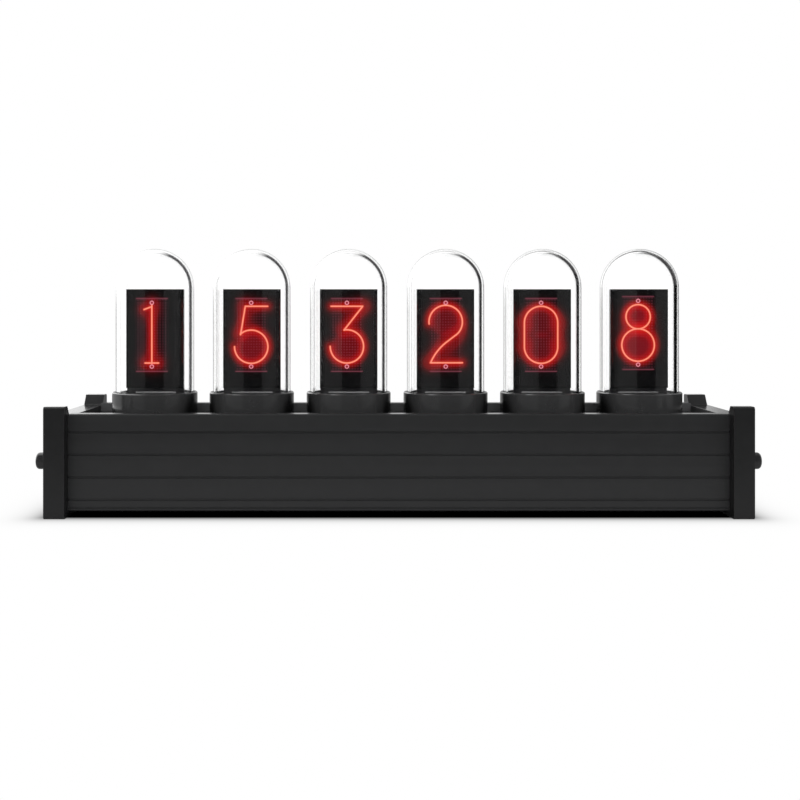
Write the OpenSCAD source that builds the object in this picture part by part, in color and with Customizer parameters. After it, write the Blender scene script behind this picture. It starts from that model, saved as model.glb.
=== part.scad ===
// Six-tube desk clock: upright displays under glass domes on a grooved metal body.
// Millimetres. X runs along the body, Y towards the rear, Z up from the table.

/* [Tubes] */
// Distance between neighbouring tube axes
tube_pitch = 30; // [28:0.5:40]
// Outer diameter of the glass
glass_d = 23.9; // [23:0.1:25]
// Thickness of the glass
glass_wall = 1.2; // [0.8:0.1:1.4]
// Depth of glass held in its collar
seat_depth = 5; // [3:0.5:5.5]
// Height from the display's upper edge to the start of the dome
dome_start = 0.55; // [0.3:0.05:6]

/* [Collars] */
// Height of a collar above the deck
collar_h = 7.9; // [7.5:0.1:14]
// Thickness of the collar outside the glass
collar_rim = 0.95; // [0.8:0.05:1.4]
// Thickness of the collar inside the glass
collar_wall = 1.2; // [1:0.1:1.5]
// Thickness of the floor that the display stands through
collar_floor = 1.6; // [1.2:0.1:2.4]
// Depth of that floor below the rim
floor_drop = 0.5; // [0.2:0.1:1.2]
// Bevel along the collar's upper edge
collar_bevel = 0.25; // [0.1:0.05:0.5]
// Diameter of the screw posts under the floor
post_d = 4.4; // [4:0.1:5]

/* [Displays] */
// Width of a display panel
panel_w = 17.8; // [16:0.1:18.2]
// Height of a display panel
panel_h = 30.5; // [26:0.5:40]
// Thickness of a display panel
panel_t = 1.6; // [1.4:0.1:2]
// Thickness of the cover glass on the panel's front
cover_t = 0.6; // [0.3:0.1:0.8]
// Step of the cover glass inside the panel's edge
cover_inset = 0.15; // [0.05:0.05:0.4]
// Gap from the collar's rim up to the panel
panel_lift = 1.2; // [0.6:0.1:4]
// Distance of the panel's front before the tube axis
panel_fwd = 1.25; // [0.8:0.05:1.6]
// Thickness of the carrier board behind the panel
carrier_t = 1.2; // [0.8:0.1:1.6]
// Width of each leg of the carrier board
leg_w = 2.55; // [2:0.05:3]
// Gap under the carrier board between its legs
carrier_gap = 0.45; // [0.3:0.05:0.9]

/* [Walls] */
// Distance from the last tube axis to the end plate
end_margin = 21.1; // [18:0.1:40]
// Height of the front and rear walls
wall_h = 28.2; // [27:0.1:40]
// Thickness of the front and rear walls
wall_t = 4.5; // [4.3:0.1:6]
// Thickness of the skin outside the hollows
wall_skin = 2.3; // [2:0.1:3]
// Height of the web beside each plate slot
slot_web = 1.2; // [0.8:0.1:1.6]
// Gap between the table and the walls
foot_gap = 1.7; // [1.5:0.1:4]
// Width of a face groove
groove_w = 0.7; // [0.4:0.05:1.2]
// Depth of a face groove
groove_depth = 0.5; // [0.2:0.05:0.8]
// Height of the lowest groove above the wall's lower edge
groove_first = 3.35; // [2.6:0.05:4.5]
// Distance between face grooves
groove_pitch = 6.53; // [5:0.01:7]
// Height of the fine line above the wall's lower edge
line_rise = 0.98; // [0.6:0.02:1.6]
// Width of the fine line
line_w = 0.3; // [0.2:0.05:0.5]
// Bevel along the wall's outer edges
wall_bevel = 0.35; // [0.1:0.05:0.5]

/* [End plates] */
// Thickness of an end plate
plate_t = 6.05; // [5:0.05:10]
// Depth of an end plate from front to rear
plate_d = 52.5; // [51:0.5:70]
// Step from the edge of an end plate to the wall
wall_recess = 3.95; // [2.5:0.05:4.5]
// Height of the ears above the walls
ear_rise = 2.4; // [1:0.1:6]
// Depth of an ear at its top
ear_top = 3.6; // [2:0.1:5]
// Depth of an ear at its root
ear_root = 6; // [5.2:0.1:9]
// Drop of the saddle between the ears below the walls
saddle_drop = 0.75; // [0.2:0.05:2]
// Bevel at the outer corners of an end plate
plate_bevel = 0.5; // [0.2:0.1:1.2]

/* [Deck and base] */
// Drop of the deck below the walls
deck_drop = 2.9; // [2:0.1:4]
// Thickness of the deck
deck_t = 2; // [1.5:0.1:2.5]
// Height of the base plate above the walls' lower edge
base_rise = 1.4; // [1.4:0.1:2]
// Thickness of the base plate
base_t = 1.8; // [1.5:0.1:2.2]
// Depth of the slots that hold the deck and the base plate
slot_depth = 1.2; // [1:0.1:1.6]

/* [Boards] */
// Height of the standoffs on the base plate
standoff_h = 5.2; // [4.6:0.1:5.6]
// Diameter of a standoff
standoff_d = 5; // [4.6:0.1:6]
// Thickness of the main board
board_t = 1.6; // [1.2:0.1:1.8]
// Gap between the main board and the end plates
board_inset = 3; // [1:0.1:5]
// Distance of the standoffs from the main board's edges
standoff_inset = 4.5; // [4:0.1:5]
// Height of a display socket
socket_h = 8.5; // [7.5:0.1:9]
// Depth of a display socket from front to rear
socket_d = 5; // [4:0.1:6]
// Wall of a display socket beyond the legs
socket_wall = 1.5; // [1:0.1:3]
// Depth of the slot in a display socket
socket_slot = 6; // [4:0.1:6.5]
// Gap between the display sockets and the pieces in front of them
bay_clear = 0.5; // [0.3:0.1:1]
// Length of the controller module
controller_l = 20; // [16:0.5:22]
// Depth of the controller module from front to rear
controller_d = 12.6; // [11:0.1:13]
// Thickness of the controller module's board
controller_t = 0.8; // [0.6:0.1:1.2]
// Height of the controller's metal can
shield_h = 2.3; // [1.6:0.1:3]
// Step of the can inside the controller's front and rear edges
shield_inset = 0.9; // [0.5:0.1:1.5]
// Length at the controller's end left free for its aerial
aerial_l = 5; // [3:0.5:6]
// Diameter of the backup cell
cell_d = 10; // [9:0.1:10.5]
// Thickness of the backup cell
cell_t = 2.5; // [1.6:0.1:3]
// Wall of the cell's holder
holder_wall = 1.2; // [0.8:0.1:1.3]
// Floor of the cell's holder
holder_floor = 0.9; // [0.6:0.1:1.5]
// Length of a driver chip
chip_l = 7; // [4:0.5:12]
// Depth of a driver chip from front to rear
chip_d = 5; // [3:0.5:10]
// Height of a driver chip
chip_h = 1.5; // [0.8:0.1:2.5]

/* [Power inlet] */
// Width of the inlet's metal shell
usb_w = 8.94; // [8.9:0.01:9]
// Height of the inlet's metal shell
usb_h = 3.26; // [3.2:0.01:3.3]
// Length of the inlet's metal shell
usb_l = 7.35; // [6.5:0.05:9]
// Sheet thickness of the shell
usb_wall = 0.3; // [0.2:0.05:0.35]
// Thickness of the shell's closed back
usb_back = 1.1; // [0.6:0.1:1.4]
// Reach of the shell's mouth into the rear wall
usb_reach = 0.6; // [0.2:0.1:1]
// Width of the contact tongue
tongue_w = 6.7; // [6:0.1:6.9]
// Thickness of the contact tongue
tongue_t = 0.7; // [0.6:0.05:0.8]
// Set-back of the tongue from the shell's mouth
tongue_back = 1; // [0.6:0.1:1.5]
// Width of the plug opening in the rear wall
usb_hole_w = 13; // [12.6:0.1:15]
// Height of the plug opening in the rear wall
usb_hole_h = 7.2; // [6.8:0.1:8]

/* [Buttons] */
// Distance between neighbouring buttons
button_pitch = 12; // [9:0.5:14]
// Diameter of a button cap
button_d = 5; // [4.4:0.1:5.4]
// Height of a button cap above the rear wall
button_rise = 1.4; // [1:0.1:2]
// Rounding of a button cap's edge
button_round = 0.6; // [0.2:0.1:0.8]
// Travel of a button
button_travel = 0.5; // [0.25:0.05:0.6]
// Clearance of a button cap in the rear wall
button_clear = 0.2; // [0.15:0.05:0.3]
// Width of the flange that keeps a cap in
flange_w = 0.8; // [0.6:0.1:1]
// Thickness of that flange
flange_t = 0.8; // [0.6:0.1:1.2]
// Gap between the flange and the rear wall
flange_gap = 0.3; // [0.2:0.05:0.4]
// Diameter of a switch plunger
plunger_d = 3.4; // [2.6:0.1:3.6]
// Depth of the plunger in its cap
plunger_in = 2; // [1.5:0.1:3]
// Length of the plunger inside its switch
plunger_seat = 2.2; // [1.6:0.1:2.6]
// Width and height of a switch housing
switch_w = 6.2; // [5.6:0.1:7]
// Depth of a switch housing from front to rear
switch_d = 4.2; // [4:0.1:5]

/* [Screws] */
// Head diameter of the end screws
end_head_d = 4.85; // [4.5:0.05:5.5]
// Head height of the end screws
end_head_h = 3.5; // [2:0.1:4]
// Rounding of the end screws' heads
end_head_round = 0.9; // [0.3:0.1:1]
// Key width of the end screws' sockets
end_key_w = 2; // [1.5:0.1:2.5]
// Shank diameter of the end screws
end_shank_d = 2.6; // [2:0.1:3]
// Length of the end screws inside the walls
end_grip = 10; // [6:0.5:14]
// Height of the end screws above the walls' lower edge
port_rise = 14.4; // [12:0.1:15.5]
// Head diameter of the board and base screws
board_head_d = 4.4; // [4:0.1:5]
// Head height of the board and base screws
board_head_h = 1.3; // [1:0.1:1.35]
// Shank diameter of the board and base screws
board_shank_d = 2.4; // [2:0.1:2.6]
// Length of the board and base screws inside a standoff
board_grip = 1.9; // [1.5:0.1:2]
// Head diameter of the collar screws
collar_head_d = 3.6; // [3:0.1:4]
// Head height of the collar screws
collar_head_h = 1.2; // [0.8:0.1:1.6]
// Shank diameter of the collar screws
collar_shank_d = 1.9; // [1.6:0.1:2.2]
// Length of the collar screws inside a collar
collar_grip = 4.2; // [3:0.1:4.5]

/* [Fits] */
// Clearance of pieces that slide or seat in each other
fit = 0.1; // [0.05:0.01:0.15]
// Radial clearance of a plunger in its cap
press_fit = 0.03; // [0.02:0.01:0.05]
// Clearance round the display legs
leg_fit = 0.15; // [0.1:0.05:0.25]
// Free depth left past the end of a screw or plunger
end_room = 0.3; // [0.2:0.05:0.5]

/* [Hidden] */
$fn = 64;
tube_n = 6;
groove_n = 4;
button_n = 4;
over = 1;
hex_sides = 6;

inner_l = (tube_n - 1) * tube_pitch + 2 * end_margin;
wall_y = plate_d / 2 - wall_recess;
inner_y = wall_y - wall_t;
wall_lo = foot_gap;
wall_hi = wall_lo + wall_h;
ear_hi = wall_hi + ear_rise;
saddle_z = wall_hi - saddle_drop;
port_y = wall_y - wall_t / 2;
port_z = wall_lo + port_rise;

deck_hi = wall_hi - deck_drop;
deck_lo = deck_hi - deck_t;
base_lo = wall_lo + base_rise;
base_hi = base_lo + base_t;
plate_half_y = inner_y + slot_depth - fit;
board_lo = base_hi + standoff_h;
board_hi = board_lo + board_t;
board_half_x = inner_l / 2 - board_inset;

// The main board ends flush with the mouths of the push switches
switch_z = board_hi + switch_w / 2;
flange_y = inner_y - flange_gap;
cap_end_y = flange_y - flange_t;
switch_y = cap_end_y - button_travel - end_room;
board_half_y = switch_y;

glass_r = glass_d / 2;
bore_r = glass_r - glass_wall;
collar_r = glass_r + fit + collar_rim;
boss_r = bore_r - fit;
hollow_r = boss_r - collar_wall;
collar_hi = deck_hi + collar_h;
seat_z = collar_hi - seat_depth;
floor_hi = collar_hi - floor_drop;
floor_lo = floor_hi - collar_floor;
post_y = hollow_r - post_d / 2 + fit;

panel_lo = collar_hi + panel_lift;
panel_hi = panel_lo + panel_h;
dome_z = panel_hi + dome_start;
carrier_y = panel_t - panel_fwd;
shoulder_z = floor_hi + carrier_gap;
leg_x = (panel_w - leg_w) / 2;
leg_lo = board_hi + socket_h - socket_slot;
socket_y = carrier_y + carrier_t / 2;
holder_side = cell_d + 2 * (fit + holder_wall);

button_mid_x = tube_x(5);
web_lo = min(switch_z, port_z) - button_d / 2 - flange_w - button_clear;
web_hi = max(switch_z, port_z) + button_d / 2 + flange_w + button_clear;

usb_x = tube_x(2);
usb_z = board_hi + usb_h / 2;
usb_mouth_y = inner_y + usb_reach;

standoff_x = board_half_x - standoff_inset;
standoff_y = board_half_y - standoff_inset;
standoff_places = [for (x = [-standoff_x, 0, standoff_x]) for (y = [-standoff_y, standoff_y]) [x, y]];
chip_tubes = [1, 3, 4, 6];

function tube_x(i) = (i - (tube_n + 1) / 2) * tube_pitch;
function bay_y(depth) = socket_y - socket_d / 2 - bay_clear - depth / 2;
function button_x(i) = button_mid_x + (i - (button_n + 1) / 2) * button_pitch;

// A box given by its low and high corners
module block(low, high) {
    translate(low) cube(high - low);
}

// A slot shape with round ends, centred
module stadium(w, h) {
    square([w - h, h], center = true);
    for (side = [-1, 1]) translate([side * (w - h) / 2, 0]) circle(d = h);
}

// A quarter disc over a rectangle: half the outline of a domed tube
module dome_half(r, low, spring) {
    translate([0, low]) square([r, spring - low]);
    translate([0, spring]) intersection() {
        circle(r = r);
        square(r);
    }
}

// A screw with a rounded head above Z = 0 and its shank below
module screw(head_d, head_h, round_r, shank_d, shank_l) {
    rotate_extrude() polygon(concat(
        [[0, -shank_l], [shank_d / 2, -shank_l], [shank_d / 2, 0], [head_d / 2, 0]],
        [for (a = [0:15:90]) [head_d / 2 - round_r * (1 - cos(a)), head_h - round_r * (1 - sin(a))]],
        [[0, head_h]]
    ));
}

// Cross-section of a wall: X from the outer face inwards, Y up
module wall_profile() {
    difference() {
        translate([0, wall_lo]) square([wall_t, wall_h]);
        for (k = [0:groove_n - 1])
            translate([-over, wall_lo + groove_first + k * groove_pitch - groove_w / 2])
                square([over + groove_depth, groove_w]);
        translate([-over, wall_lo + line_rise - line_w / 2]) square([over + groove_depth, line_w]);
        for (z = [wall_lo, wall_hi])
            translate([0, z]) rotate(45) square(wall_bevel * sqrt(2), center = true);
        slot_cut(base_lo, base_hi);
        slot_cut(deck_lo, deck_hi);
        translate([wall_skin, base_hi + slot_web]) square([wall_t, web_lo - base_hi - slot_web]);
        translate([wall_skin, web_hi]) square([wall_t, deck_lo - slot_web - web_hi]);
    }
}

// Slot in a wall's inner side for a plate between two heights
module slot_cut(low, high) {
    translate([wall_t - slot_depth, low - fit]) square([slot_depth + over, high - low + 2 * fit]);
}

// The extruded wall, as it stands at the front
module wall_bar() {
    difference() {
        translate([-inner_l / 2, -wall_y, 0]) rotate([90, 0, 90]) linear_extrude(inner_l) wall_profile();
        for (side = [-1, 1])
            translate([side * inner_l / 2, -port_y, port_z]) rotate([0, 90, 0])
                cylinder(d = end_shank_d + 2 * fit, h = 2 * (end_grip + end_room), center = true);
    }
}

module front_wall() {
    color("#2b2c2e") wall_bar();
}

module rear_wall() {
    color("#2b2c2e") difference() {
        mirror([0, 1, 0]) wall_bar();
        translate([usb_x, wall_y + over, usb_z]) rotate([90, 0, 0])
            linear_extrude(wall_t + 2 * over) stadium(usb_hole_w, usb_hole_h);
        for (i = [1:button_n])
            translate([button_x(i), inner_y - over, switch_z]) rotate([-90, 0, 0])
                cylinder(d = button_d + 2 * button_clear, h = wall_t + 2 * over);
    }
}

// Outline of an end plate, one half: X towards its edge, Y up
module plate_half() {
    half = plate_d / 2;
    difference() {
        polygon([
            [0, 0], [half, 0], [half, ear_hi], [half - ear_top, ear_hi],
            [half - ear_root, saddle_z], [0, saddle_z]
        ]);
        for (z = [0, ear_hi])
            translate([half, z]) rotate(45) square(plate_bevel * sqrt(2), center = true);
    }
}

// An end plate against the end of the walls; side is -1 at the left and 1 at the right
module end_plate(side) {
    color("#242527") difference() {
        translate([side * (inner_l / 2 + plate_t / 2), 0, 0]) rotate([90, 0, 90])
            linear_extrude(plate_t, center = true) {
                plate_half();
                mirror([1, 0]) plate_half();
            }
        for (y = [-port_y, port_y])
            translate([side * (inner_l / 2 + plate_t / 2), y, port_z]) rotate([0, 90, 0])
                cylinder(d = end_shank_d + 4 * fit, h = plate_t + 2 * over, center = true);
    }
}

module left_end_plate() {
    end_plate(-1);
}

module right_end_plate() {
    end_plate(1);
}

module deck_plate() {
    color("#1f2022") difference() {
        block([-inner_l / 2 + fit, -plate_half_y, deck_lo], [inner_l / 2 - fit, plate_half_y, deck_hi]);
        for (i = [1:tube_n]) translate([tube_x(i), 0, 0]) {
            leg_slots(deck_lo - over, deck_hi + over);
            for (y = [-post_y, post_y])
                translate([0, y, deck_lo - over])
                    cylinder(d = collar_shank_d + 4 * fit, h = deck_t + 2 * over);
        }
    }
}

module base_plate() {
    color("#1f2022") difference() {
        block([-inner_l / 2 + fit, -plate_half_y, base_lo], [inner_l / 2 - fit, plate_half_y, base_hi]);
        for (p = standoff_places)
            translate([p.x, p.y, base_lo - over])
                cylinder(d = board_shank_d + 4 * fit, h = base_t + 2 * over);
    }
}

// Room for the two legs of a display's carrier board between two heights
module leg_slots(low, high) {
    for (side = [-1, 1])
        block(
            [side * leg_x - leg_w / 2 - leg_fit, carrier_y - leg_fit, low],
            [side * leg_x + leg_w / 2 + leg_fit, carrier_y + carrier_t + leg_fit, high]
        );
}

module glass_tube(i) {
    color("#dfe8ee", 0.35) translate([tube_x(i), 0, 0]) rotate_extrude() difference() {
        dome_half(glass_r, seat_z, dome_z);
        dome_half(bore_r, seat_z - over, dome_z);
    }
}

module tube_collar(i) {
    color("#26272a") translate([tube_x(i), 0, 0]) difference() {
        union() {
            rotate_extrude() polygon([
                [hollow_r, deck_hi], [collar_r, deck_hi], [collar_r, collar_hi - collar_bevel],
                [collar_r - collar_bevel, collar_hi], [glass_r + fit, collar_hi], [glass_r + fit, seat_z],
                [boss_r, seat_z], [boss_r, floor_hi], [0, floor_hi], [0, floor_lo], [hollow_r, floor_lo]
            ]);
            for (y = [-post_y, post_y])
                translate([0, y, deck_hi])
                    cylinder(d = post_d, h = collar_h - floor_drop - collar_floor / 2);
        }
        leg_slots(deck_hi - over, collar_hi + over);
        for (y = [-post_y, post_y])
            translate([0, y, deck_hi - over])
                cylinder(d = collar_shank_d + 2 * fit, h = over + collar_grip + end_room);
    }
}

module display_panel(i) {
    half = panel_w / 2;
    color("#0b0b0d") translate([tube_x(i), -panel_fwd, 0]) {
        block([-half, cover_t, panel_lo], [half, panel_t, panel_hi]);
        block(
            [-half + cover_inset, 0, panel_lo + cover_inset],
            [half - cover_inset, cover_t, panel_hi - cover_inset]
        );
    }
}

module display_board(i) {
    half = panel_w / 2;
    color("#141517") translate([tube_x(i), carrier_y, 0]) {
        block([-half, 0, shoulder_z], [half, carrier_t, panel_hi]);
        for (side = [-1, 1])
            block([side * leg_x - leg_w / 2, 0, leg_lo], [side * leg_x + leg_w / 2, carrier_t, shoulder_z]);
    }
}

module main_board() {
    color("#14301f") difference() {
        block([-board_half_x, -board_half_y, board_lo], [board_half_x, board_half_y, board_hi]);
        for (p = standoff_places)
            translate([p.x, p.y, board_lo - over])
                cylinder(d = board_shank_d + 4 * fit, h = board_t + 2 * over);
    }
}

module display_sockets() {
    half = panel_w / 2 + socket_wall;
    color("#1a1a1c") for (i = [1:tube_n]) translate([tube_x(i), 0, 0]) difference() {
        block(
            [-half, socket_y - socket_d / 2, board_hi],
            [half, socket_y + socket_d / 2, board_hi + socket_h]
        );
        leg_slots(leg_lo, board_hi + socket_h + over);
    }
}

module standoffs() {
    color("#c9a24a") for (p = standoff_places) translate([p.x, p.y, base_hi]) difference() {
        cylinder(d = standoff_d, h = standoff_h, $fn = hex_sides);
        translate([0, 0, -over]) cylinder(d = board_shank_d + 2 * fit, h = standoff_h + 2 * over);
    }
}

module controller_board() {
    color("#10243a") translate([tube_x(2), bay_y(controller_d), board_hi])
        block(
            [-controller_l / 2, -controller_d / 2, 0],
            [controller_l / 2, controller_d / 2, controller_t]
        );
}

module controller_shield() {
    half_y = controller_d / 2 - shield_inset;
    color("#b9bcc0") translate([tube_x(2), bay_y(controller_d), board_hi + controller_t])
        block(
            [-controller_l / 2 + shield_inset, -half_y, 0],
            [controller_l / 2 - aerial_l, half_y, shield_h]
        );
}

module battery_holder() {
    half = holder_side / 2;
    color("#1a1a1c") translate([tube_x(5), bay_y(holder_side), board_hi]) difference() {
        block([-half, -half, 0], [half, half, holder_floor + cell_t]);
        translate([0, 0, holder_floor]) cylinder(d = cell_d + 2 * fit, h = cell_t + over);
    }
}

module clock_battery() {
    color("#c8cace") translate([tube_x(5), bay_y(holder_side), board_hi + holder_floor])
        cylinder(d = cell_d, h = cell_t);
}

module board_chips() {
    color("#1c1c1e") for (i = chip_tubes) translate([tube_x(i), bay_y(chip_d), board_hi])
        block([-chip_l / 2, -chip_d / 2, 0], [chip_l / 2, chip_d / 2, chip_h]);
}

module usb_shell() {
    color("#c3c6ca") translate([usb_x, usb_mouth_y, usb_z]) rotate([90, 0, 0]) difference() {
        linear_extrude(usb_l) stadium(usb_w, usb_h);
        translate([0, 0, -over])
            linear_extrude(usb_l - usb_back + over) stadium(usb_w - 2 * usb_wall, usb_h - 2 * usb_wall);
    }
}

module usb_tongue() {
    color("#1c1c1e") translate([usb_x, usb_mouth_y, usb_z])
        block([-tongue_w / 2, usb_back - usb_l, -tongue_t / 2], [tongue_w / 2, -tongue_back, tongue_t / 2]);
}

module switch_housings() {
    half = switch_w / 2;
    color("#1a1a1c") for (i = [1:button_n]) translate([button_x(i), switch_y, switch_z]) difference() {
        block([-half, -switch_d, -half], [half, 0, half]);
        translate([0, -plunger_seat - button_travel - end_room, 0]) rotate([-90, 0, 0])
            cylinder(d = plunger_d + 2 * fit, h = switch_d + over);
    }
}

module switch_plunger(i) {
    color("#3a3a3d") translate([button_x(i), switch_y - plunger_seat, switch_z]) rotate([-90, 0, 0])
        cylinder(d = plunger_d, h = cap_end_y + plunger_in - switch_y + plunger_seat);
}

// Revolved about the button's axis: flange inside the wall, round-edged cap outside
module button_cap(i) {
    r = button_d / 2;
    top = wall_y + button_rise - cap_end_y;
    color("#2a2b2d") translate([button_x(i), cap_end_y, switch_z]) rotate([-90, 0, 0]) difference() {
        rotate_extrude() polygon(concat(
            [[0, 0], [r + flange_w, 0], [r + flange_w, flange_t], [r, flange_t]],
            [for (a = [0:15:90]) [r - button_round * (1 - cos(a)), top - button_round * (1 - sin(a))]],
            [[0, top]]
        ));
        translate([0, 0, -over]) cylinder(d = plunger_d + 2 * press_fit, h = over + plunger_in);
    }
}

module end_screws() {
    color("#1b1b1d") for (side = [-1, 1]) for (y = [-port_y, port_y])
        translate([side * (inner_l / 2 + plate_t), y, port_z]) rotate([0, side * 90, 0]) difference() {
            screw(end_head_d, end_head_h, end_head_round, end_shank_d, plate_t + end_grip);
            translate([0, 0, end_head_h / 2])
                cylinder(d = end_key_w / cos(180 / hex_sides), h = end_head_h, $fn = hex_sides);
        }
}

module base_screws() {
    color("#9a9da1") for (p = standoff_places) translate([p.x, p.y, base_lo]) rotate([180, 0, 0])
        screw(board_head_d, board_head_h, board_head_h / 2, board_shank_d, base_t + board_grip);
}

module board_screws() {
    color("#9a9da1") for (p = standoff_places) translate([p.x, p.y, board_hi])
        screw(board_head_d, board_head_h, board_head_h / 2, board_shank_d, board_t + board_grip);
}

module collar_screws() {
    color("#9a9da1") for (i = [1:tube_n]) for (y = [-post_y, post_y])
        translate([tube_x(i), y, deck_lo]) rotate([180, 0, 0])
            screw(collar_head_d, collar_head_h, collar_head_h / 2, collar_shank_d, deck_t + collar_grip);
}

for (i = [1:tube_n]) {
    glass_tube(i);
    tube_collar(i);
    display_panel(i);
    display_board(i);
}
for (i = [1:button_n]) {
    button_cap(i);
    switch_plunger(i);
}
front_wall();
rear_wall();
left_end_plate();
right_end_plate();
deck_plate();
base_plate();
main_board();
display_sockets();
standoffs();
controller_board();
controller_shield();
battery_holder();
clock_battery();
board_chips();
usb_shell();
usb_tongue();
switch_housings();
end_screws();
base_screws();
board_screws();
collar_screws();
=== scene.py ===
import math
import bmesh
import bpy
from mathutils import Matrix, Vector


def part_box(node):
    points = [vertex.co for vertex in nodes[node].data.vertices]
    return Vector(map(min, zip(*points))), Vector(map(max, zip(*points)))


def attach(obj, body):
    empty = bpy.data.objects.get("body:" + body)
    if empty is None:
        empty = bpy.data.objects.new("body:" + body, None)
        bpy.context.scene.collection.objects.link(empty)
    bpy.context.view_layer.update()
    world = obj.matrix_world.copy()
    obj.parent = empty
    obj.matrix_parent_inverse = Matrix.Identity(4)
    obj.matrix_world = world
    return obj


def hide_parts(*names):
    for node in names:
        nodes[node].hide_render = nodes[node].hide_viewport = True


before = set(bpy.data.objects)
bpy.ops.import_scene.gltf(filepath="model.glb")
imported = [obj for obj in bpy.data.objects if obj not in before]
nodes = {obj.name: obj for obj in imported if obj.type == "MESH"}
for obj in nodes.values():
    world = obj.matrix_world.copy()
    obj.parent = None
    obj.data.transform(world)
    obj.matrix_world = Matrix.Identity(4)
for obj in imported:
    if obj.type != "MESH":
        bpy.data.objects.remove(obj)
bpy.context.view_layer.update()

# Six-tube display clock: finishes, blown glass, lit numerals and a white studio
mm = 0.001
mainBody = "clock_body"
tubeCount = 6
buttonCount = 4


# Camera: level, square to the front, framed by lens shift

photoCamera = {
    "place": (-7.77, -351.25, 59.74),  # mm
    "focalPixels": 1133.0,
    "imagePixels": 800.0,
    "principalPoint": (372.0, 311.4),
    "sensorWidth": 36.0,  # mm
    "clip": (0.01, 20.0),
}


def makeCamera(view):
    data = bpy.data.cameras.new("photoCamera")
    size = view["imagePixels"]
    data.sensor_width = view["sensorWidth"]
    data.lens = view["focalPixels"] / size * data.sensor_width
    data.shift_x = 0.5 - view["principalPoint"][0] / size
    data.shift_y = view["principalPoint"][1] / size - 0.5
    data.clip_start, data.clip_end = view["clip"]
    camera = bpy.data.objects.new("photoCamera", data)
    camera.location = Vector(view["place"]) * mm
    camera.rotation_euler = (math.radians(90), 0, 0)
    bpy.context.scene.collection.objects.link(camera)
    bpy.context.scene.camera = camera


makeCamera(photoCamera)
print("camera set")


# Short ways to lay out shader nodes

def addNode(tree, kind, **settings):
    node = tree.nodes.new(kind)
    for key, value in settings.items():
        setattr(node, key, value)
    return node


def feed(tree, target, value):
    if isinstance(value, bpy.types.NodeSocket):
        tree.links.new(value, target)
    else:
        target.default_value = value


def calc(tree, operation, *values, clamp=False):
    node = addNode(tree, "ShaderNodeMath", operation=operation, use_clamp=clamp)
    for target, value in zip(node.inputs, values):
        feed(tree, target, value)
    return node.outputs[0]


def vectorCalc(tree, operation, *values, out="Vector"):
    node = addNode(tree, "ShaderNodeVectorMath", operation=operation)
    for target, value in zip(node.inputs, values):
        feed(tree, target, value)
    return node.outputs[out]


def scaleVector(tree, vector, factor):
    node = addNode(tree, "ShaderNodeVectorMath", operation="SCALE")
    feed(tree, node.inputs["Vector"], vector)
    feed(tree, node.inputs["Scale"], factor)
    return node.outputs["Vector"]


def remap(tree, value, fromLow, fromHigh, toLow, toHigh, smooth=False):
    node = addNode(tree, "ShaderNodeMapRange")
    node.interpolation_type = "SMOOTHSTEP" if smooth else "LINEAR"
    for target, part in zip(node.inputs, (value, fromLow, fromHigh, toLow, toHigh)):
        feed(tree, target, part)
    return node.outputs[0]


def blendColour(tree, factor, first, second):
    node = addNode(tree, "ShaderNodeMix", data_type="RGBA")
    feed(tree, node.inputs["Factor"], factor)
    for target, value in ((node.inputs[6], first), (node.inputs[7], second)):
        feed(tree, target, value if isinstance(value, bpy.types.NodeSocket) else (*value, 1.0))
    return node.outputs[2]


def splitXyz(tree, vector):
    node = addNode(tree, "ShaderNodeSeparateXYZ")
    feed(tree, node.inputs[0], vector)
    return node.outputs


def joinXyz(tree, x, y, z):
    node = addNode(tree, "ShaderNodeCombineXYZ")
    for target, value in zip(node.inputs, (x, y, z)):
        feed(tree, target, value)
    return node.outputs[0]


def noise(tree, vector, scale, detail=3.0, rough=0.55):
    node = addNode(tree, "ShaderNodeTexNoise")
    feed(tree, node.inputs["Vector"], vector)
    feed(tree, node.inputs["Scale"], scale)
    node.inputs["Detail"].default_value = detail
    node.inputs["Roughness"].default_value = rough
    return node.outputs["Fac"]


def objectPlace(tree):
    return addNode(tree, "ShaderNodeTexCoord").outputs["Object"]


socketKinds = {"value": "NodeSocketFloat", "vector": "NodeSocketVector", "colour": "NodeSocketColor"}


def newGroup(name, inputs, outputs):
    tree = bpy.data.node_groups.new(name, "ShaderNodeTree")
    for label, kind, start in inputs:
        socket = tree.interface.new_socket(label, in_out="INPUT", socket_type=socketKinds[kind])
        socket.default_value = start
    for label, kind in outputs:
        tree.interface.new_socket(label, in_out="OUTPUT", socket_type=socketKinds[kind])
    return tree, addNode(tree, "NodeGroupInput").outputs, addNode(tree, "NodeGroupOutput").inputs


def useGroup(tree, group, **values):
    node = addNode(tree, "ShaderNodeGroup", node_tree=group)
    for label, value in values.items():
        feed(tree, node.inputs[label], value)
    return node.outputs


def newMaterial(name):
    material = bpy.data.materials.new(name)
    material.use_nodes = True
    tree = material.node_tree
    tree.nodes.clear()
    shader = addNode(tree, "ShaderNodeBsdfPrincipled")
    output = addNode(tree, "ShaderNodeOutputMaterial")
    tree.links.new(shader.outputs[0], output.inputs["Surface"])
    return material, tree, shader


def addBump(tree, shader, height, depth):
    bump = addNode(tree, "ShaderNodeBump")
    bump.inputs["Strength"].default_value = 1.0
    bump.inputs["Distance"].default_value = depth
    tree.links.new(height, bump.inputs["Height"])
    tree.links.new(bump.outputs[0], shader.inputs["Normal"])


# Shared effects as node groups

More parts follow.
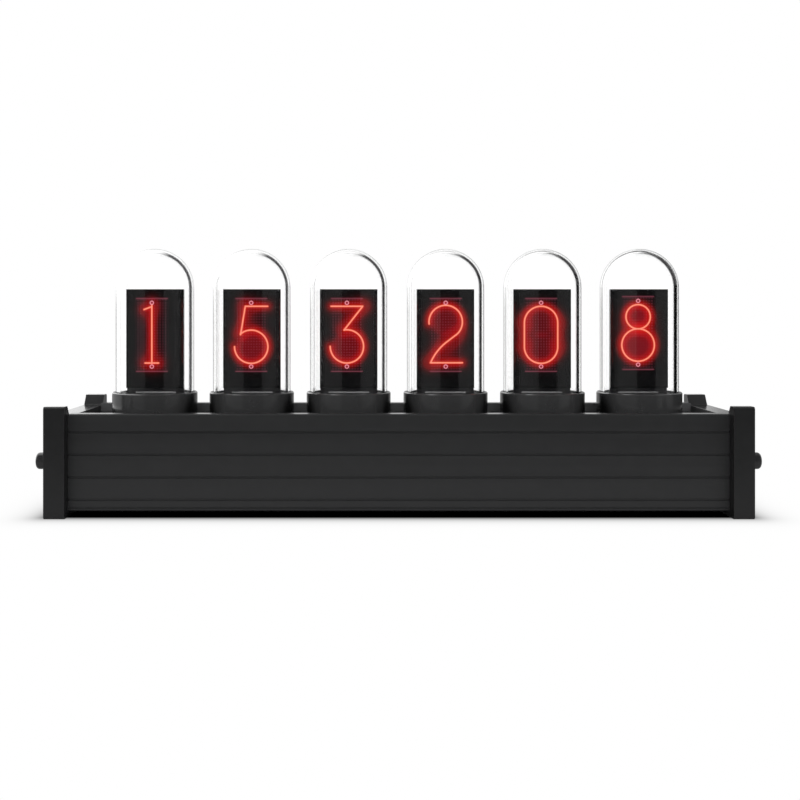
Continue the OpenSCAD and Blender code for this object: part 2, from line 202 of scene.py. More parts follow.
grainEffect = {"detail": 2.0, "rough": 0.6, "broad": 0.05, "broadDetail": 4.0, "contrast": (0.3, 0.7)}
drawnEffect = {"detail": 2.0, "rough": 0.6, "broad": 0.2, "broadDetail": 3.0, "contrast": (0.3, 0.7)}
wearEffect = {
    "samples": 6,
    "bend": (0.99, 0.80),  # how far the rounded normal leans from the face's own
    "scale": 900.0,
    "detail": 5.0,
    "rough": 0.7,
    "contrast": (0.35, 0.65),
    "least": 0.25,
}
dustEffect = {"level": (0.6, 1.0), "scale": 2600.0, "detail": 6.0, "rough": 0.75, "contrast": (0.52, 0.75)}
smudgeEffect = {"scale": 140.0, "detail": 5.0, "rough": 0.6, "contrast": (0.5, 0.75)}


def makeGrainGroup():
    tree, given, out = newGroup(
        "surfaceGrain", [("Scale", "value", 4000.0)], [("Height", "value"), ("Mottle", "value")]
    )
    place = objectPlace(tree)
    fine = noise(tree, place, given["Scale"], grainEffect["detail"], grainEffect["rough"])
    feed(tree, out["Height"], fine)
    broad = calc(tree, "MULTIPLY", given["Scale"], grainEffect["broad"])
    patches = noise(tree, place, broad, grainEffect["broadDetail"])
    feed(tree, out["Mottle"], remap(tree, patches, *grainEffect["contrast"], 0.0, 1.0))
    return tree


def makeDrawnGroup():
    tree, given, out = newGroup(
        "drawnLines",
        [("Scale", "value", 3000.0), ("Stretch", "vector", (0.01, 1.0, 1.0))],
        [("Height", "value"), ("Streak", "value")],
    )
    along = vectorCalc(tree, "MULTIPLY", objectPlace(tree), given["Stretch"])
    fine = noise(tree, along, given["Scale"], drawnEffect["detail"], drawnEffect["rough"])
    feed(tree, out["Height"], fine)
    broad = calc(tree, "MULTIPLY", given["Scale"], drawnEffect["broad"])
    streaks = noise(tree, along, broad, drawnEffect["broadDetail"])
    feed(tree, out["Streak"], remap(tree, streaks, *drawnEffect["contrast"], 0.0, 1.0))
    return tree


def makeWearGroup():
    tree, given, out = newGroup(
        "edgeWear", [("Radius", "value", 0.0004), ("Amount", "value", 0.5)], [("Mask", "value")]
    )
    rounded = addNode(tree, "ShaderNodeBevel", samples=wearEffect["samples"])
    feed(tree, rounded.inputs["Radius"], given["Radius"])
    flat = addNode(tree, "ShaderNodeNewGeometry").outputs["Normal"]
    bend = vectorCalc(tree, "DOT_PRODUCT", rounded.outputs[0], flat, out="Value")
    edge = remap(tree, bend, *wearEffect["bend"], 0.0, 1.0)
    patches = noise(tree, objectPlace(tree), wearEffect["scale"], wearEffect["detail"], wearEffect["rough"])
    broken = remap(tree, patches, *wearEffect["contrast"], wearEffect["least"], 1.0)
    worn = calc(tree, "MULTIPLY", edge, broken)
    feed(tree, out["Mask"], calc(tree, "MULTIPLY", worn, given["Amount"]))
    return tree


def makeDustGroup():
    tree, given, out = newGroup("settledDust", [("Amount", "value", 0.1)], [("Mask", "value")])
    normal = addNode(tree, "ShaderNodeNewGeometry").outputs["Normal"]
    upward = remap(tree, splitXyz(tree, normal)[2], *dustEffect["level"], 0.0, 1.0, smooth=True)
    patches = noise(tree, objectPlace(tree), dustEffect["scale"], dustEffect["detail"], dustEffect["rough"])
    specks = remap(tree, patches, *dustEffect["contrast"], 0.0, 1.0)
    settled = calc(tree, "MULTIPLY", upward, specks)
    feed(tree, out["Mask"], calc(tree, "MULTIPLY", settled, given["Amount"]))
    return tree


def makeSmudgeGroup():
    tree, given, out = newGroup(
        "wipedSmudge", [("Clean", "value", 0.0), ("Smeared", "value", 0.03)], [("Roughness", "value")]
    )
    place = objectPlace(tree)
    swirl = noise(tree, place, smudgeEffect["scale"], smudgeEffect["detail"], smudgeEffect["rough"])
    smear = remap(tree, swirl, *smudgeEffect["contrast"], given["Clean"], given["Smeared"])
    feed(tree, out["Roughness"], smear)
    return tree


surfaceGrain = makeGrainGroup()
drawnLines = makeDrawnGroup()
edgeWear = makeWearGroup()
settledDust = makeDustGroup()
wipedSmudge = makeSmudgeGroup()
print("effect groups made")


# Black finishes: one recipe, each piece with its own values

wallFinish = {
    "colour": (0.0140, 0.0142, 0.0147),
    "mottled": (0.0170, 0.0172, 0.0178),
    "edge": (0.060, 0.060, 0.062),
    "edgeRadius": 0.25 * mm,
    "edgeAmount": 0.35,
    "roughness": (0.30, 0.36),
    "topRoughness": 0.26,
    "grain": 5200.0,
    "grainDepth": 0.002 * mm,
    "drawn": 2600.0,
    # painted light: faces turned to the middle of the clock are drawn lighter
    "paintedLightInner": (0.066, 0.066, 0.068),
    "dust": 0.03,
}
plateFinish = {
    "colour": (0.0085, 0.0086, 0.0089),
    "mottled": (0.0100, 0.0101, 0.0104),
    "edge": (0.045, 0.045, 0.046),
    "edgeRadius": 0.30 * mm,
    "edgeAmount": 0.30,
    "roughness": (0.30, 0.40),
    "topRoughness": 0.16,
    # painted light: ear faces turned to the middle of the clock are drawn lighter
    "paintedLightInner": (0.0190, 0.0190, 0.0195),
    "grain": 3600.0,
    "grainDepth": 0.003 * mm,
    "dust": 0.03,
}
collarFinish = {
    "colour": (0.0275, 0.0277, 0.0282),
    "mottled": (0.0290, 0.0292, 0.0297),
    "edge": (0.055, 0.055, 0.057),
    "edgeRadius": 0.20 * mm,
    "edgeAmount": 0.35,
    "roughness": (0.17, 0.20),
    "topRoughness": 0.42,
    "specular": 1.0,
    "shelter": 3.5 * mm,
    "shelterOpen": (0.55, 0.95),
    # painted shade: collar sides facing a neighbour are darkened by occlusion
    "shade": 9 * mm,
    "shadeOpen": (0.80, 0.55),
    "shadeTurn": (0.58, 0.88),
    "shadeColour": (0.0035, 0.0035, 0.0036),
    "grain": 4200.0,
    "grainDepth": 0.0004 * mm,
    "dust": 0.02,
}
deckFinish = {
    "colour": (0.0160, 0.0161, 0.0166),
    "mottled": (0.0200, 0.0201, 0.0206),
    "edge": (0.040, 0.040, 0.041),
    "edgeRadius": 0.20 * mm,
    "edgeAmount": 0.25,
    "roughness": (0.42, 0.52),
    "grain": 3200.0,
    "grainDepth": 0.008 * mm,
    "dust": 0.06,
}
buttonFinish = {
    "colour": (0.0240, 0.0240, 0.0246),
    "mottled": (0.0280, 0.0280, 0.0286),
    "edge": (0.060, 0.060, 0.061),
    "edgeRadius": 0.20 * mm,
    "edgeAmount": 0.30,
    "roughness": (0.36, 0.46),
    "grain": 6000.0,
    "grainDepth": 0.004 * mm,
    "dust": 0.02,
}
switchFinish = {
    "colour": (0.0140, 0.0140, 0.0144),
    "mottled": (0.0180, 0.0180, 0.0184),
    "edge": (0.040, 0.040, 0.041),
    "edgeRadius": 0.10 * mm,
    "edgeAmount": 0.25,
    "roughness": (0.45, 0.55),
    "grain": 7000.0,
    "grainDepth": 0.005 * mm,
    "dust": 0.03,
}
blackScrewFinish = {
    "colour": (0.0140, 0.0140, 0.0145),
    "mottled": (0.0200, 0.0200, 0.0206),
    "edge": (0.12, 0.12, 0.12),
    "edgeRadius": 0.12 * mm,
    "edgeAmount": 0.45,
    "roughness": (0.28, 0.40),
    "grain": 8000.0,
    "grainDepth": 0.004 * mm,
    "dust": 0.02,
}
dustColour = (0.25, 0.24, 0.23)
dustRoughness = 0.4
paintedLightFrom = 5 * mm  # from the clock's middle plane
levelTurn = (0.85, 0.97)
plainSpecular = 0.5
openSamples = 12


def blackFinish(name, finish):
    material, tree, shader = newMaterial(name)
    grain = useGroup(tree, surfaceGrain, Scale=finish["grain"])
    wear = useGroup(tree, edgeWear, Radius=finish["edgeRadius"], Amount=finish["edgeAmount"])["Mask"]
    dust = useGroup(tree, settledDust, Amount=finish["dust"])["Mask"]
    variation, height = grain["Mottle"], grain["Height"]
    if "drawn" in finish:  # extruded metal keeps faint lines along its length
        lines = useGroup(tree, drawnLines, Scale=finish["drawn"])
        variation = calc(tree, "MULTIPLY", calc(tree, "ADD", variation, lines["Streak"]), 0.5)
        height = calc(tree, "ADD", height, lines["Height"])
    colour = blendColour(tree, variation, finish["colour"], finish["mottled"])
    if "paintedLightInner" in finish:  # painted light: faces turned to the middle of the clock get a lighter colour, standing in for light that reaches them
        across = addNode(tree, "ShaderNodeNewGeometry").outputs["Normal"]
        turned = calc(tree, "MULTIPLY", splitXyz(tree, across)[1], splitXyz(tree, objectPlace(tree))[1])
        paintedLight = calc(tree, "LESS_THAN", turned, -paintedLightFrom)
        colour = blendColour(tree, paintedLight, colour, finish["paintedLightInner"])
    if "shade" in finish:  # painted shade: sides that face a neighbour are darkened in the base colour where ambient occlusion finds it close
        beside = addNode(tree, "ShaderNodeAmbientOcclusion", samples=openSamples)
        beside.inputs["Distance"].default_value = finish["shade"]
        normal = addNode(tree, "ShaderNodeNewGeometry").outputs["Normal"]
        sideways = calc(tree, "ABSOLUTE", splitXyz(tree, normal)[0])
        sideways = remap(tree, sideways, *finish["shadeTurn"], 0.0, 1.0, smooth=True)
        paintedShade = remap(tree, beside.outputs["AO"], *finish["shadeOpen"], 0.0, 1.0)
        paintedShade = calc(tree, "MULTIPLY", paintedShade, sideways)
        colour = blendColour(tree, paintedShade, colour, finish["shadeColour"])
    colour = blendColour(tree, wear, colour, finish["edge"])
    feed(tree, shader.inputs["Base Color"], blendColour(tree, dust, colour, dustColour))
    sheen = remap(tree, variation, 0.0, 1.0, *finish["roughness"])
    if "topRoughness" in finish:  # level tops have their own gloss
        normal = addNode(tree, "ShaderNodeNewGeometry").outputs["Normal"]
        level = remap(tree, splitXyz(tree, normal)[2], *levelTurn, 0.0, 1.0)
        polish = calc(tree, "MULTIPLY", level, calc(tree, "SUBTRACT", sheen, finish["topRoughness"]))
        sheen = calc(tree, "SUBTRACT", sheen, polish)
    if "shelter" in finish:  # level faces close to another piece stay dull
        around = addNode(tree, "ShaderNodeAmbientOcclusion", samples=openSamples)
        around.inputs["Distance"].default_value = finish["shelter"]
        dull = remap(tree, around.outputs["AO"], *finish["shelterOpen"], 1.0, 0.0)
        dull = calc(tree, "MULTIPLY", dull, level)
        sheen = calc(tree, "ADD", sheen, calc(tree, "MULTIPLY", dull, calc(tree, "SUBTRACT", 1.0, sheen)))
    sheen = calc(tree, "ADD", sheen, calc(tree, "MULTIPLY", dust, dustRoughness))
    feed(tree, shader.inputs["Roughness"], sheen)
    shader.inputs["Specular IOR Level"].default_value = finish.get("specular", plainSpecular)
    addBump(tree, shader, height, finish["grainDepth"])
    return material


# Bare metals

steelFinish = {"colour": (0.58, 0.59, 0.60), "dull": (0.44, 0.45, 0.47), "roughness": (0.22, 0.36)}
brassFinish = {"colour": (0.68, 0.47, 0.19), "dull": (0.50, 0.33, 0.13), "roughness": (0.24, 0.40)}
metalLines = {"drawn": 4200.0, "stretch": (1.0, 1.0, 0.02), "grain": 5000.0, "depth": 0.002 * mm}


def bareMetal(name, finish):
    material, tree, shader = newMaterial(name)
    lines = useGroup(tree, drawnLines, Scale=metalLines["drawn"], Stretch=metalLines["stretch"])
    grain = useGroup(tree, surfaceGrain, Scale=metalLines["grain"])["Mottle"]
    tarnish = calc(tree, "MULTIPLY", grain, lines["Streak"])
    feed(tree, shader.inputs["Base Color"], blendColour(tree, tarnish, finish["colour"], finish["dull"]))
    feed(tree, shader.inputs["Roughness"], remap(tree, lines["Streak"], 0.0, 1.0, *finish["roughness"]))
    shader.inputs["Metallic"].default_value = 1.0
    addBump(tree, shader, lines["Height"], metalLines["depth"])
    return material


# Circuit boards: lacquer over copper tracks

carrierLacquer = {"lacquer": (0.010, 0.010, 0.011), "track": (0.020, 0.020, 0.021), "tracks": 520.0}
mainLacquer = {"lacquer": (0.008, 0.040, 0.018), "track": (0.020, 0.085, 0.036), "tracks": 420.0}
moduleLacquer = {"lacquer": (0.008, 0.016, 0.050), "track": (0.020, 0.036, 0.100), "tracks": 700.0}
boardRelief = {
    "trackEdge": (0.05, 0.09),
    "trackFade": (0.6, 1.0),
    "trackHeight": 0.02 * mm,
    "grain": 5000.0,
    "roughness": (0.30, 0.42),
}


def boardLacquer(name, finish):
    material, tree, shader = newMaterial(name)
    cells = addNode(tree, "ShaderNodeTexVoronoi", feature="DISTANCE_TO_EDGE", distance="EUCLIDEAN")
    feed(tree, cells.inputs["Vector"], objectPlace(tree))
    cells.inputs["Scale"].default_value = finish["tracks"]
    track = remap(tree, cells.outputs["Distance"], *boardRelief["trackEdge"], 1.0, 0.0, smooth=True)
    mottle = useGroup(tree, surfaceGrain, Scale=boardRelief["grain"])["Mottle"]
    shade = calc(tree, "MULTIPLY", track, remap(tree, mottle, 0.0, 1.0, *boardRelief["trackFade"]))
    feed(tree, shader.inputs["Base Color"], blendColour(tree, shade, finish["lacquer"], finish["track"]))
    feed(tree, shader.inputs["Roughness"], remap(tree, mottle, 0.0, 1.0, *boardRelief["roughness"]))
    addBump(tree, shader, track, boardRelief["trackHeight"])
    return material


# Power inlet tongue: black plastic with a row of gilt contacts

tongueFinish = {
    "plastic": (0.014, 0.014, 0.015),
    "gilt": (0.62, 0.45, 0.18),
    "pitch": 0.5 * mm,
    "contactShare": 0.24,
    "levelFrom": 0.7,
    "grain": 6000.0,
    "roughness": (0.25, 0.42),
}


def contactTongue(name, finish):
    material, tree, shader = newMaterial(name)
    across = splitXyz(tree, objectPlace(tree))[0]
    row = calc(tree, "PINGPONG", across, finish["pitch"] / 2)
    normal = addNode(tree, "ShaderNodeNewGeometry").outputs["Normal"]
    upright = calc(tree, "ABSOLUTE", splitXyz(tree, normal)[2])
    level = calc(tree, "GREATER_THAN", upright, finish["levelFrom"])
    inRow = calc(tree, "GREATER_THAN", row, finish["pitch"] * finish["contactShare"])
    contact = calc(tree, "MULTIPLY", inRow, level)
    grain = useGroup(tree, surfaceGrain, Scale=finish["grain"])["Mottle"]
    feed(tree, shader.inputs["Base Color"], blendColour(tree, contact, finish["plastic"], finish["gilt"]))
    feed(tree, shader.inputs["Metallic"], contact)
    feed(tree, shader.inputs["Roughness"], remap(tree, grain, 0.0, 1.0, *finish["roughness"]))
    return material


# Blown glass, almost clean, with a painted grey rim and painted dark lines

glassFinish = {
    "colour": (1.0, 1.0, 1.0),
    "paintedRimColour": (0.30, 0.305, 0.31),  # painted shade: thin grey outline where the wall is seen edge on
    "edge": (0.73, 0.83),
    "paintedStreakColour": (0.004, 0.004, 0.0045),  # painted reflection: dark line down the right, where a dark flag beside the set would show in the glass
    "streak": (0.465, 0.535, 0.63, 0.71),
    "streakSide": (0.10, 0.45),
    "faintStreak": (0.60, 0.63, 0.695, 0.725),  # painted reflection too: on the left, growing from the first tube to the last
    "faintFrom": (-75 * mm, 75 * mm),
    "smear": 0.02,
    "ior": 1.45,
    "wall": 1.2 * mm,
    "turns": 144,
    "arcSteps": 30,
    "lipSteps": 8,
    "ringMargin": 0.1 * mm,
}


def band(tree, value, steps):
    start, full, fading, gone = steps
    rise = remap(tree, value, start, full, 0.0, 1.0, smooth=True)
    return calc(tree, "MULTIPLY", rise, remap(tree, value, fading, gone, 1.0, 0.0, smooth=True))


def blownGlass(name, finish):
    material, tree, shader = newMaterial(name)
    facing = addNode(tree, "ShaderNodeLayerWeight").outputs["Facing"]
    # painted shade: the glass colour turns grey where the wall is seen edge on
    rim = remap(tree, facing, *finish["edge"], 0.0, 1.0)
    tint = blendColour(tree, rim, finish["colour"], finish["paintedRimColour"])
    # painted reflection: dark lines on the outer face, by view angle and by the side the face turns to
    normal = addNode(tree, "ShaderNodeNewGeometry").outputs["Normal"]
    right = remap(tree, splitXyz(tree, normal)[0], *finish["streakSide"], 0.0, 1.0, smooth=True)
    strong = calc(tree, "MULTIPLY", band(tree, facing, finish["streak"]), right)
    growth = remap(tree, splitXyz(tree, objectPlace(tree))[0], *finish["faintFrom"], 0.0, 1.0)
    growth = calc(tree, "MULTIPLY", growth, calc(tree, "SUBTRACT", 1.0, right))
    faint = calc(tree, "MULTIPLY", band(tree, facing, finish["faintStreak"]), growth)
    heart = addNode(tree, "ShaderNodeTexCoord").outputs["Generated"]
    fromHeart = vectorCalc(tree, "SUBTRACT", heart, (0.5, 0.5, 0.5))
    outward = vectorCalc(tree, "DOT_PRODUCT", fromHeart, normal, out="Value")
    outerFace = calc(tree, "GREATER_THAN", outward, 0.0)
    line = calc(tree, "MULTIPLY", calc(tree, "MAXIMUM", strong, faint), outerFace)
    feed(tree, shader.inputs["Base Color"], blendColour(tree, line, tint, finish["paintedStreakColour"]))
    shader.inputs["Transmission Weight"].default_value = 1.0
    shader.inputs["IOR"].default_value = finish["ior"]
    smear = useGroup(tree, wipedSmudge, Clean=0.0, Smeared=finish["smear"])["Roughness"]
    feed(tree, shader.inputs["Roughness"], smear)
    return material


poleRadius = 1e-9


def lathe(name, profile, axis, turns):
    # profile runs from pole to pole as (radius, height); a radius of 0 is a pole
    mesh = bmesh.new()
    rings = []
    for radius, height in profile:
        if radius < poleRadius:
            rings.append([mesh.verts.new((axis[0], axis[1], height))])
            continue
        ring = []
        for k in range(turns):
            angle = 2 * math.pi * k / turns
            x = axis[0] + radius * math.cos(angle)
            y = axis[1] + radius * math.sin(angle)
            ring.append(mesh.verts.new((x, y, height)))
        rings.append(ring)
    for low, high in zip(rings, rings[1:]):
        for k in range(turns):
            n = (k + 1) % turns
            corners = []
            for corner in (low[k % len(low)], low[n % len(low)], high[n % len(high)], high[k % len(high)]):
                if corner not in corners:
                    corners.append(corner)
            mesh.faces.new(corners)
    bmesh.ops.recalc_face_normals(mesh, faces=mesh.faces)
    data = bpy.data.meshes.new(name)
    mesh.to_mesh(data)
    mesh.free()
    for face in data.polygons:
        face.use_smooth = True
    piece = bpy.data.objects.new(name, data)
    bpy.context.scene.collection.objects.link(piece)
    return piece


def arcPoints(centre, radius, startAngle, endAngle, steps):
    points = []
    for k in range(steps + 1):
        angle = math.radians(startAngle + (endAngle - startAngle) * k / steps)
        points.append((centre[0] + radius * math.cos(angle), centre[1] + radius * math.sin(angle)))
    return points


def tubeProfile(low, high, radius, glass):
    wall = glass["wall"]
    steps = glass["arcSteps"]
    margin = glass["ringMargin"]
    spring = high - radius
    lip = wall / 2
    bore = radius - wall
    # rings here keep the normals of the straight part level
    straightEnds = (spring - margin, low + lip + margin)
    points = arcPoints((0, spring), radius, 90, 0, steps)
    points += [(radius, height) for height in straightEnds]
    points += arcPoints((radius - lip, low + lip), lip, 0, -180, glass["lipSteps"])
    points += [(bore, height) for height in reversed(straightEnds)]
    points += arcPoints((0, spring), bore, 0, 90, steps)
    points[0] = (0, high)
    points[-1] = (0, high - wall)
    return points


def makeGlassTubes():
    glass = blownGlass("blownGlass", glassFinish)
    for i in range(1, tubeCount + 1):
        node = "glass_tube_%d" % i
        low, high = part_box(node)
        profile = tubeProfile(low.z, high.z, (high.x - low.x) / 2, glassFinish)
        centre = (low + high) / 2
        tube = lathe("blown_tube_%d" % i, profile, (centre.x, centre.y), glassFinish["turns"])
        tube.data.materials.append(glass)
        tube.visible_shadow = False
        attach(tube, mainBody)
        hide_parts(node)


makeGlassTubes()
print("glass tubes blown")


# Lit numerals: each is a few strokes and arcs, in mm from the middle of its display

numeralFrame = {"top": 9.97, "bottom": -7.64, "round": 5.13}
numeralGlow = {
    "core": (1.0, 0.34, 0.23),
    "coreWidth": (0.30, 0.06),  # mm from the middle of the wire: where it starts, where it is full
    "hot": (1.0, 0.08, 0.025),
    "hotWidth": (0.46, 0.16),
    "near": (0.34, 0.004, 0.0),
    "nearReach": 2.3,
    "nearCurve": 1.4,
    "nearMost": 1.1,
    "wide": (0.42, 0.001, 0.002),  # where several wires come close
    "wideReach": 2.0,
    "wideMost": 0.7,
    "wideCurve": 3.0,
    "loop": (0.165, 0.0005, 0.003),
    "loopEdge": (1.05, 0.65),  # share of an arc's radius
    "mesh": (0.095, 0.018, 0.030),
}
top, foot, bowl = numeralFrame["top"], numeralFrame["bottom"], numeralFrame["round"]
numerals = {
    0: [
        ("arc", (0, top - bowl), bowl, 0, 180),
        ("arc", (0, foot + bowl), bowl, 180, 360),
        ("line", (-bowl, foot + bowl), (-bowl, top - bowl)),
        ("line", (bowl, foot + bowl), (bowl, top - bowl)),
    ],
    1: [
        ("line", (0, top + 0.5), (0, foot)),
        ("line", (-2.4, top - 1.0), (0, top - 0.1)),
        ("line", (-2.07, foot + 0.1), (2.07, foot + 0.1)),
    ],
    2: [
        ("arc", (0, top - bowl + 0.3), bowl, -51, 187),
        ("line", (3.23, 1.19), (0.09, -1.22)),
        ("arc", (10.11, -13.72), 16.03, 128.7, 156.1),
        ("line", (-4.7, foot + 0.18), (5.13, foot + 0.18)),
    ],
    3: [
        ("line", (-4.87, top), (4.87, top)),
        ("line", (4.87, top), (-0.87, 2.6)),
        ("arc", (0, foot + bowl + 0.1), bowl, -180, 100),
    ],
    5: [
        ("line", (-1.82, top), (5.07, top)),
        ("line", (-1.82, top), (-3.27, 1.22)),
        ("arc", (0, foot + bowl), bowl, -180, 131),
    ],
    8: [
        ("arc", (0, 6.14), 3.74, 0, 360),
        ("arc", (0, -2.58), 5.0, 0, 360),
    ],
}
shownTime = [
    {"digit": 1, "shift": -0.78},
    {"digit": 5, "shift": -0.09},
    {"digit": 3, "shift": -0.53},
    {"digit": 2, "shift": 0.0},
    {"digit": 0, "shift": -0.53},
    {"digit": 8, "shift": -0.55, "lift": 0.6},
]
tubeFittings = {  # the drawn frame round every numeral, mm
    "ringHeights": (11.05, -8.63),
    "ringRadius": 0.52,
    "ringWidth": 0.13,
    "ringSoft": (0.5, 1.6),
    "ringColour": (0.90, 0.30, 0.38),
    "barHeights": (12.38, -10.11),
    "barHalf": 4.75,
    "barWidth": 0.30,
    "barSoft": 0.4,
    "barColour": (0.13, 0.028, 0.042),
    "meshHalf": 5.2,
    "meshFade": 0.6,
    "meshPitch": 0.85,
    "meshDot": (0.14, 0.34),  # share of the pitch
}


def wireShare(tree, gap, before, after):
    # share of an endless wire's light, with this much wire to either side of the point
    gap = calc(tree, "MAXIMUM", gap, numeralGlow["coreWidth"][0])
    first = calc(tree, "ARCTANGENT", calc(tree, "DIVIDE", before, gap))
    second = calc(tree, "ARCTANGENT", calc(tree, "DIVIDE", after, gap))
    return calc(tree, "DIVIDE", calc(tree, "ADD", first, second), math.pi)


def makeLineGroup():
    tree, given, out = newGroup(
        "strokeDistance",
        [("Point", "vector", (0, 0, 0)), ("From", "vector", (0, 0, 0)), ("To", "vector", (1, 0, 0))],
        [("Distance", "value"), ("Lit", "value")],
    )
    reach = vectorCalc(tree, "SUBTRACT", given["To"], given["From"])
    away = vectorCalc(tree, "SUBTRACT", given["Point"], given["From"])
    along = vectorCalc(tree, "DOT_PRODUCT", away, reach, out="Value")
    whole = vectorCalc(tree, "DOT_PRODUCT", reach, reach, out="Value")
    share = calc(tree, "DIVIDE", along, whole, clamp=True)
    nearest = scaleVector(tree, reach, share)
    gap = vectorCalc(tree, "DISTANCE", away, nearest, out="Value")
    feed(tree, out["Distance"], gap)
    length = calc(tree, "SQRT", whole)
    before = calc(tree, "DIVIDE", along, length)
    feed(tree, out["Lit"], wireShare(tree, gap, before, calc(tree, "SUBTRACT", length, before)))
    return tree


ringFrom = math.radians(179)  # half an arc's angle from which it counts as a closed ring


def makeArcGroup():
    tree, given, out = newGroup(
        "arcDistance",
        [
            ("Point", "vector", (0, 0, 0)),
            ("Centre", "vector", (0, 0, 0)),
            ("Radius", "value", 1.0),
            ("Middle", "value", 0.0),
            ("Half", "value", 1.0),
        ],
        [("Distance", "value"), ("Inside", "value"), ("Lit", "value")],
    )
    away = vectorCalc(tree, "SUBTRACT", given["Point"], given["Centre"])
    turned = addNode(tree, "ShaderNodeVectorRotate", rotation_type="Z_AXIS")
    feed(tree, turned.inputs["Vector"], away)
    feed(tree, turned.inputs["Angle"], calc(tree, "MULTIPLY", given["Middle"], -1.0))
    x, y, _ = splitXyz(tree, turned.outputs[0])
    y = calc(tree, "ABSOLUTE", y)
    swing = calc(tree, "ARCTAN2", y, x)
    angle = calc(tree, "MINIMUM", swing, given["Half"])
    nearX = calc(tree, "MULTIPLY", given["Radius"], calc(tree, "COSINE", angle))
    nearY = calc(tree, "MULTIPLY", given["Radius"], calc(tree, "SINE", angle))
    here = joinXyz(tree, x, y, 0.0)
    nearest = joinXyz(tree, nearX, nearY, 0.0)
    gap = vectorCalc(tree, "DISTANCE", here, nearest, out="Value")
    feed(tree, out["Distance"], gap)
    reach = calc(tree, "DIVIDE", vectorCalc(tree, "LENGTH", away, out="Value"), given["Radius"])
    before = calc(tree, "MULTIPLY", given["Radius"], calc(tree, "ADD", given["Half"], swing))
    after = calc(tree, "MULTIPLY", given["Radius"], calc(tree, "SUBTRACT", given["Half"], swing))
    ring = calc(tree, "GREATER_THAN", given["Half"], ringFrom)
    feed(tree, out["Lit"], calc(tree, "MAXIMUM", wireShare(tree, gap, before, after), ring))
    closed = calc(tree, "DIVIDE", given["Half"], math.pi)
    within = remap(tree, reach, *numeralGlow["loopEdge"], 0.0, 1.0, smooth=True)
    feed(tree, out["Inside"], calc(tree, "MULTIPLY", within, closed))
    return tree


def makeGlowGroup(glow):
    tree, given, out = newGroup(
        "wireGlow",
        [
            ("Distance", "value", 1.0),
            ("Near", "value", 0.0),
            ("Around", "value", 0.0),
            ("Inside", "value", 0.0),
        ],
        [("Colour", "colour")],
    )
    gap = given["Distance"]
    halo = scaleVector(tree, glow["near"], calc(tree, "MINIMUM", given["Near"], glow["nearMost"]))
    around = calc(tree, "MINIMUM", given["Around"], glow["wideMost"])
    around = calc(tree, "POWER", around, glow["wideCurve"])
    halo = vectorCalc(tree, "ADD", halo, scaleVector(tree, glow["wide"], around))
    halo = vectorCalc(tree, "ADD", halo, scaleVector(tree, glow["loop"], given["Inside"]))
    hot = remap(tree, gap, *glow["hotWidth"], 0.0, 1.0, smooth=True)
    core = remap(tree, gap, *glow["coreWidth"], 0.0, 1.0, smooth=True)
    colour = blendColour(tree, hot, halo, glow["hot"])
    feed(tree, out["Colour"], blendColour(tree, core, colour, glow["core"]))
    return tree


strokeDistance = makeLineGroup()
arcDistance = makeArcGroup()
wireGlow = makeGlowGroup(numeralGlow)


def strokeGaps(tree, point, strokes):
    gaps = []
    lits = []
    insides = []
    for kind, *shape in strokes:
        if kind == "line":
            start, end = shape
            line = useGroup(tree, strokeDistance, Point=point, From=(*start, 0), To=(*end, 0))
            gaps.append(line["Distance"])
            lits.append(line["Lit"])
            continue
        centre, radius, start, end = shape
        arc = useGroup(
            tree, arcDistance, Point=point, Centre=(*centre, 0), Radius=radius,
            Middle=math.radians((start + end) / 2), Half=math.radians((end - start) / 2),
        )
        gaps.append(arc["Distance"])
        lits.append(arc["Lit"])
        if radius < 2 * bowl:  # shallow sweeps hold no glow inside
            insides.append(arc["Inside"])
    return gaps, lits, insides


def gather(tree, operation, values):
    total = values[0]
    for value in values[1:]:
        total = calc(tree, operation, total, value)
    return total


def numeralPicture(tree, point, strokes):
    gaps, lits, insides = strokeGaps(tree, point, strokes)
    falls = []
    halos = []
    for gap, lit in zip(gaps, lits):
        fall = calc(tree, "MULTIPLY", gap, -1.0 / numeralGlow["wideReach"])
        falls.append(calc(tree, "EXPONENT", fall))
        close = remap(tree, gap, 0.0, numeralGlow["nearReach"], 1.0, 0.0)
        halos.append(calc(tree, "MULTIPLY", calc(tree, "POWER", close, numeralGlow["nearCurve"]), lit))
    glow = {
        "Distance": gather(tree, "MINIMUM", gaps),
        "Near": gather(tree, "ADD", halos),
        "Around": gather(tree, "ADD", falls),
    }
    if insides:
        glow["Inside"] = gather(tree, "ADD", insides)
    return useGroup(tree, wireGlow, **glow)["Colour"]


displayFinish = {
    "face": (0.0030, 0.0030, 0.0032),
    "mottled": (0.0042, 0.0042, 0.0044),
    "clean": 0.06,
    "smeared": 0.16,
    "grain": 3000.0,
    "frontTurn": (-0.9, -0.98),
}


